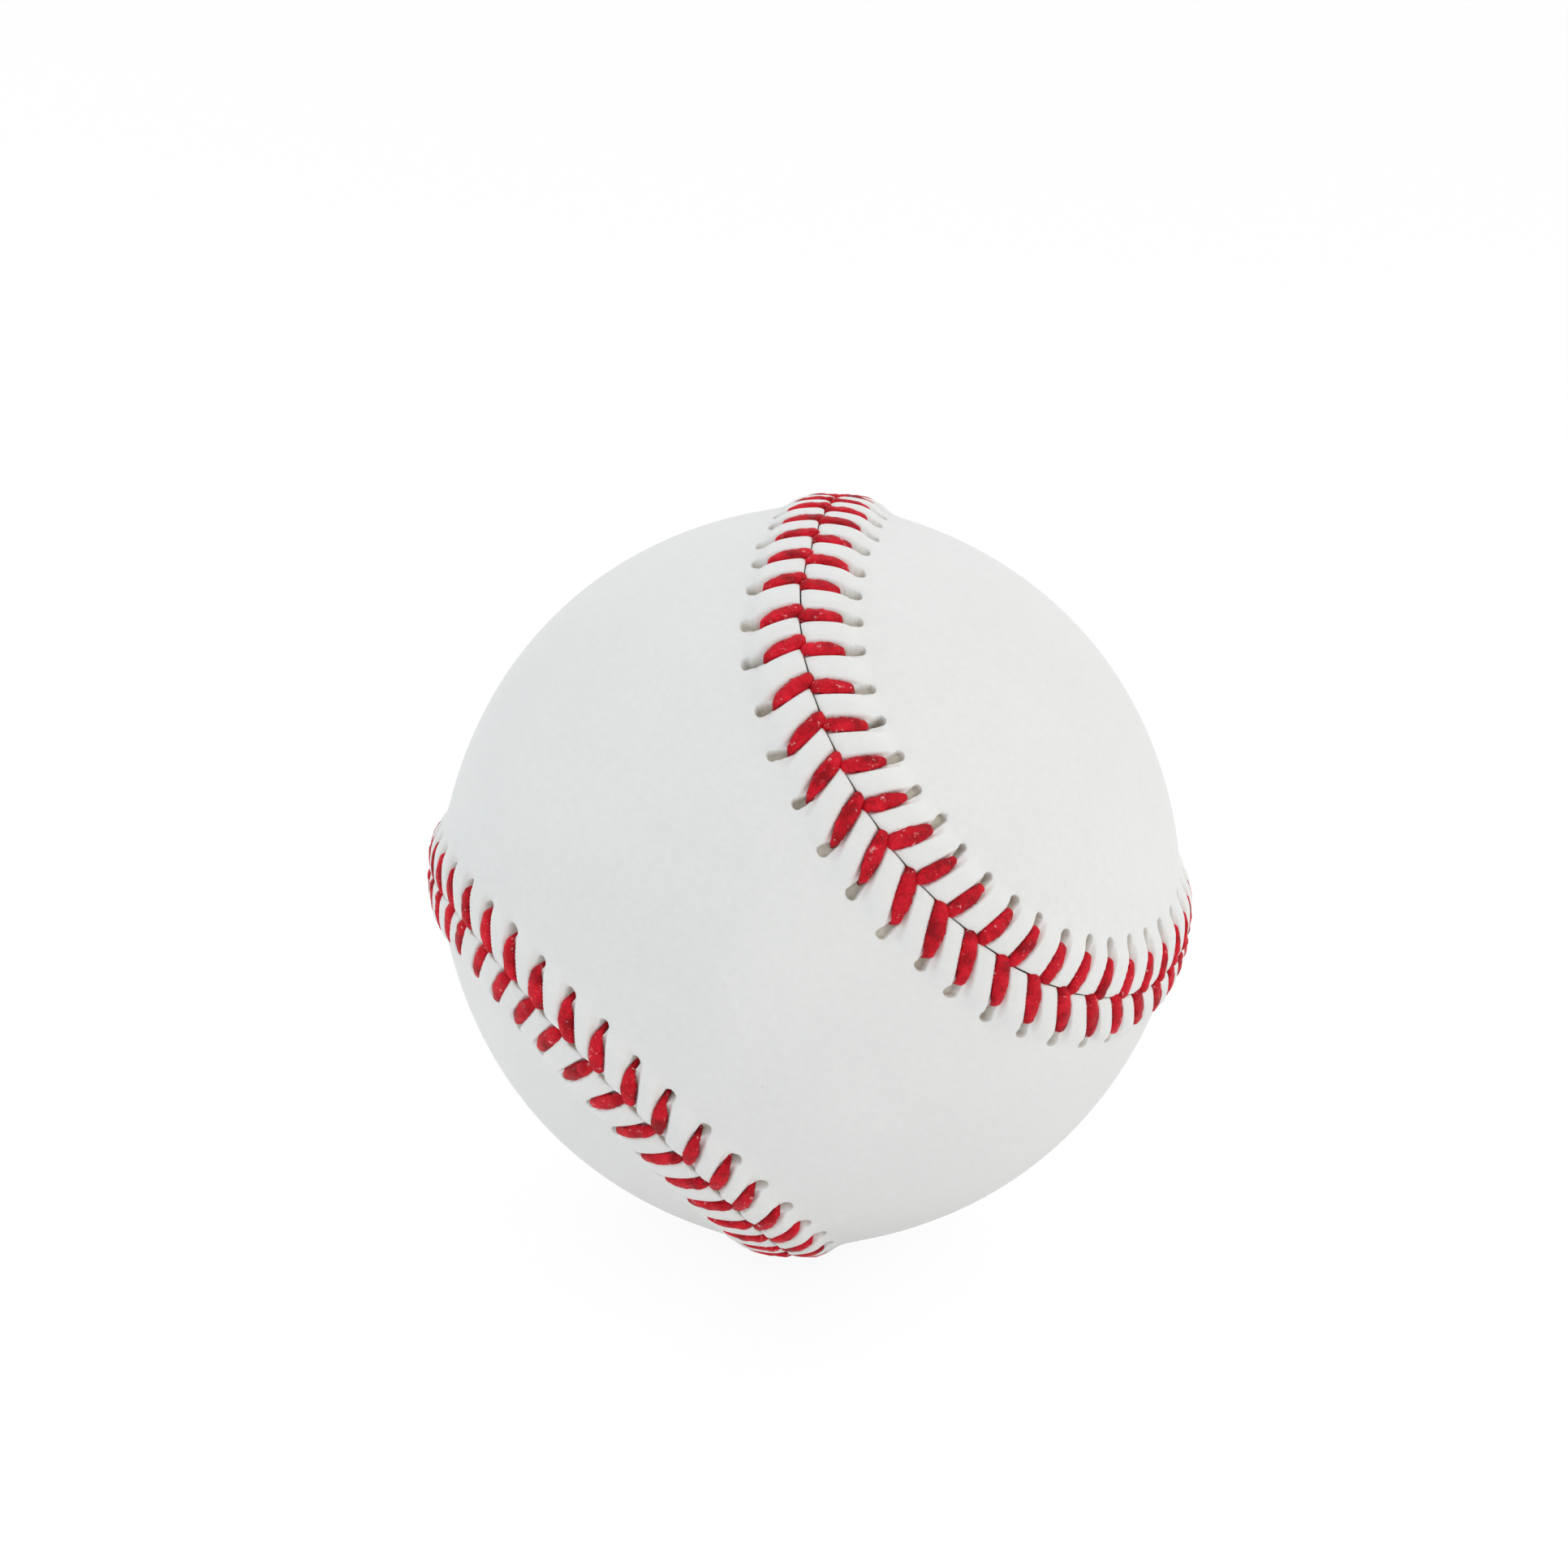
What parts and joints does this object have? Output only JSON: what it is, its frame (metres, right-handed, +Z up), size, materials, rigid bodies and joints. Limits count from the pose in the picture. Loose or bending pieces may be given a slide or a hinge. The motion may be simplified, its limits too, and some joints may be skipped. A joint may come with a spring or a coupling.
{
  "type": "baseball",
  "caption": "Hand-sewn leather ball: figure-eight cover panels closed over a solid moulded core by a raised double-needle seam in waxed red thread.",
  "frame": {"origin": "middle of the ball", "axes": "-Y through the waist of the front panel, +Y through the waist of the back panel, and the seam passes through the X and Z axes; +Z is up in the picture"},
  "size_m": [0.0758, 0.073, 0.0758],
  "materials": {
    "core_compound": "matte, moulded, with dark specks and small pores",
    "leather": "matte, fine grained, white tanned",
    "waxed_thread": "waxed, twisted, satin"
  },
  "bodies": {
    "root": {"core": "core_compound", "cover_panel_front": "leather", "cover_panel_back": "leather", "thread_first_needle": "waxed_thread", "thread_second_needle": "waxed_thread"}
  },
  "joints": []
}
